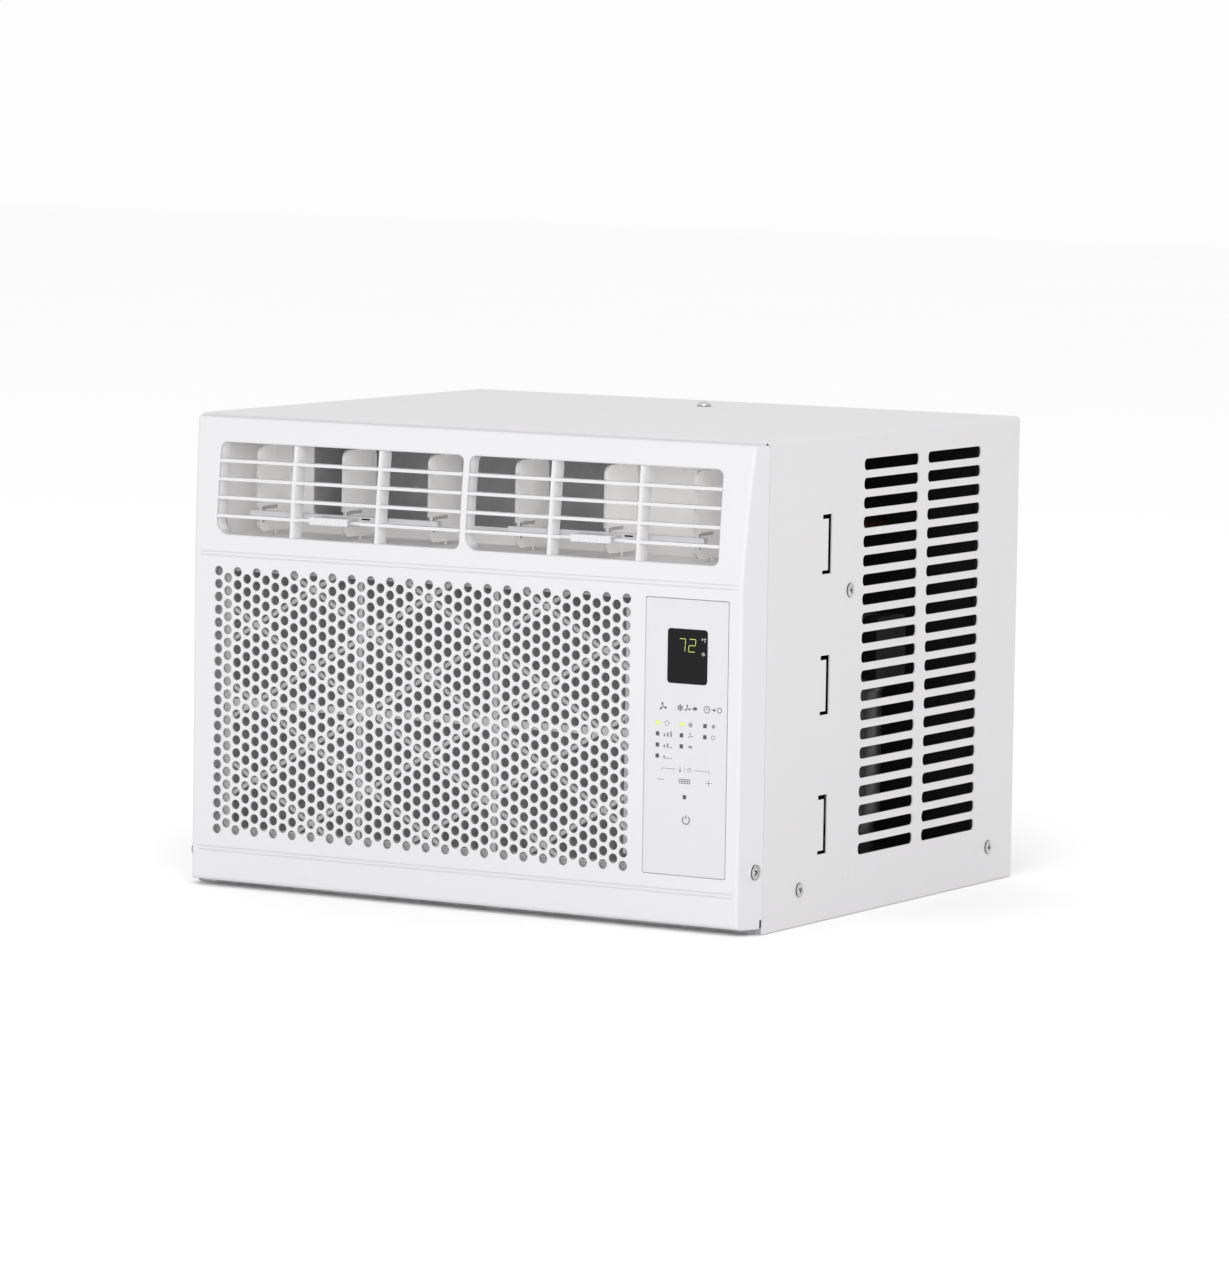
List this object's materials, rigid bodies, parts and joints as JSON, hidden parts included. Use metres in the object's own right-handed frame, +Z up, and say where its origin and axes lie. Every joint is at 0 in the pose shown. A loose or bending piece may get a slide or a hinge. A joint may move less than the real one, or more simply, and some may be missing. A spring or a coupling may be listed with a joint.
{
  "type": "window air conditioner",
  "caption": "Box-shaped room air conditioner for a window: louvred discharge, perforated intake panel, touch panel, slotted steel case and a coil at the back.",
  "frame": {"origin": "on the ground plane, under the middle of the cabinet", "axes": "+Z up, -Y towards the room (the side with the grilles), +X to the right of a person who faces the front"},
  "size_m": [0.4732, 0.4, 0.3436],
  "materials": {
    "white_plastic": "fine moulded grain",
    "panel_film": "satin printed film",
    "smoked_lens": "polished dark",
    "led": "clear light guide",
    "circuit_board": "solder mask",
    "black_plastic": "moulded",
    "grey_plastic": "moulded",
    "vane_plastic": "moulded",
    "filter_plastic": "moulded",
    "filter_net": "woven net",
    "key_plastic": "moulded",
    "foam": "beaded foam",
    "painted_steel": "powder coat",
    "zinc_steel": "zinc coated",
    "bright_steel": "plated",
    "black_steel": "gloss black enamel",
    "guard_wire": "powder coated wire",
    "copper": "drawn copper",
    "aluminium_fins": "thin fin stock",
    "rubber": "moulded"
  },
  "bodies": {
    "cabinet": {"accumulator": "black_steel", "air_duct": "grey_plastic", "base_pan": "zinc_steel", "blower_inlet_ring": "grey_plastic", "cabinet_screws": "bright_steel", "capillary_tube": "copper", "coil_end_plates": "zinc_steel", "compressor": "black_steel", "compressor_grommets": "rubber", "compressor_studs": "bright_steel", "condenser_fins": "aluminium_fins", "condenser_tubes": "copper", "control_box": "zinc_steel", "control_overlay": "panel_film", "cord_gland": "rubber", "discharge_grille": "white_plastic", "discharge_pipe": "copper", "display_board": "circuit_board", "display_lens": "smoked_lens", "drain_pan": "grey_plastic", "evaporator_fins": "aluminium_fins", "evaporator_tubes": "copper", "fan_motor": "zinc_steel", "fan_shroud": "zinc_steel", "filter_drier": "copper", "filter_guides": "grey_plastic", "front_bezel": "white_plastic", "indicator_leds": "led", "intake_grille": "white_plastic", "main_board": "circuit_board", "motor_bracket": "zinc_steel", "outer_case": "painted_steel", "partition": "zinc_steel", "rear_guard": "guard_wire", "run_capacitor": "grey_plastic", "scroll_housing": "foam", "suction_pipe": "copper", "tact_switches": "black_plastic", "terminal_cover": "black_plastic"},
    "fan_rotor": {"motor_shaft": "bright_steel", "blower_wheel": "grey_plastic", "condenser_fan": "grey_plastic"},
    "filter_cassette": {"air_filter": "filter_plastic", "filter_mesh": "filter_net"},
    "left_vane_1": {"left_vane_1": "vane_plastic"},
    "left_vane_2": {"left_vane_2": "vane_plastic"},
    "left_vane_3": {"left_vane_3": "vane_plastic"},
    "left_link_bar": {"left_link_bar": "white_plastic"},
    "right_vane_1": {"right_vane_1": "vane_plastic"},
    "right_vane_2": {"right_vane_2": "vane_plastic"},
    "right_vane_3": {"right_vane_3": "vane_plastic"},
    "right_link_bar": {"right_link_bar": "white_plastic"},
    "fan_key": {"fan_key": "key_plastic"},
    "filter_reset_key": {"filter_reset_key": "key_plastic"},
    "mode_key": {"mode_key": "key_plastic"},
    "power_key": {"power_key": "key_plastic"},
    "temp_down_key": {"temp_down_key": "key_plastic"},
    "temp_up_key": {"temp_up_key": "key_plastic"},
    "timer_key": {"timer_key": "key_plastic"}
  },
  "joints": [
    {"name": "fan_spin", "type": "hinge", "parent": "cabinet", "child": "fan_rotor", "pos_m": [-0.04, 0, 0.152], "axis": [0, 1, 0], "continuous": true},
    {"name": "filter_slide", "type": "slide", "parent": "cabinet", "child": "filter_cassette", "axis": [-1, 0, 0], "range_m": [0, 0.36]},
    {"name": "left_vane_2_swing", "type": "hinge", "parent": "cabinet", "child": "left_vane_2", "pos_m": [-0.1106, -0.163, 0.289], "axis": [0, 0, 1], "range_deg": [-30, 30]},
    {"name": "left_vane_1_swing", "type": "hinge", "parent": "cabinet", "child": "left_vane_1", "pos_m": [-0.183, -0.163, 0.289], "axis": [0, 0, 1], "range_deg": [-30, 30]},
    {"name": "left_vane_3_swing", "type": "hinge", "parent": "cabinet", "child": "left_vane_3", "pos_m": [-0.0382, -0.163, 0.289], "axis": [0, 0, 1], "range_deg": [-30, 30]},
    {"name": "left_link_turn", "type": "hinge", "parent": "left_vane_2", "child": "left_link_bar", "pos_m": [-0.1106, -0.182, 0.269], "axis": [0, 0, 1], "range_deg": [-30, 30]},
    {"name": "right_vane_2_swing", "type": "hinge", "parent": "cabinet", "child": "right_vane_2", "pos_m": [0.1066, -0.163, 0.289], "axis": [0, 0, 1], "range_deg": [-30, 30]},
    {"name": "right_vane_1_swing", "type": "hinge", "parent": "cabinet", "child": "right_vane_1", "pos_m": [0.0342, -0.163, 0.289], "axis": [0, 0, 1], "range_deg": [-30, 30]},
    {"name": "right_vane_3_swing", "type": "hinge", "parent": "cabinet", "child": "right_vane_3", "pos_m": [0.179, -0.163, 0.289], "axis": [0, 0, 1], "range_deg": [-30, 30]},
    {"name": "right_link_turn", "type": "hinge", "parent": "right_vane_2", "child": "right_link_bar", "pos_m": [0.1066, -0.182, 0.269], "axis": [0, 0, 1], "range_deg": [-30, 30]},
    {"name": "fan_press", "type": "slide", "parent": "cabinet", "child": "fan_key", "axis": [0, 1, 0], "range_m": [0, 0.0003], "stiffness_N_per_m": 400},
    {"name": "filter_reset_press", "type": "slide", "parent": "cabinet", "child": "filter_reset_key", "axis": [0, 1, 0], "range_m": [0, 0.0003], "stiffness_N_per_m": 400},
    {"name": "mode_press", "type": "slide", "parent": "cabinet", "child": "mode_key", "axis": [0, 1, 0], "range_m": [0, 0.0003], "stiffness_N_per_m": 400},
    {"name": "power_press", "type": "slide", "parent": "cabinet", "child": "power_key", "axis": [0, 1, 0], "range_m": [0, 0.0003], "stiffness_N_per_m": 400},
    {"name": "temp_down_press", "type": "slide", "parent": "cabinet", "child": "temp_down_key", "axis": [0, 1, 0], "range_m": [0, 0.0003], "stiffness_N_per_m": 400},
    {"name": "temp_up_press", "type": "slide", "parent": "cabinet", "child": "temp_up_key", "axis": [0, 1, 0], "range_m": [0, 0.0003], "stiffness_N_per_m": 400},
    {"name": "timer_press", "type": "slide", "parent": "cabinet", "child": "timer_key", "axis": [0, 1, 0], "range_m": [0, 0.0003], "stiffness_N_per_m": 400}
  ],
  "couplings": [
    {"joint": "left_vane_1_swing", "follows": "left_vane_2_swing", "ratio": 1},
    {"joint": "left_vane_3_swing", "follows": "left_vane_2_swing", "ratio": 1},
    {"joint": "left_link_turn", "follows": "left_vane_2_swing", "ratio": -1},
    {"joint": "right_vane_1_swing", "follows": "right_vane_2_swing", "ratio": 1},
    {"joint": "right_vane_3_swing", "follows": "right_vane_2_swing", "ratio": 1},
    {"joint": "right_link_turn", "follows": "right_vane_2_swing", "ratio": -1}
  ]
}
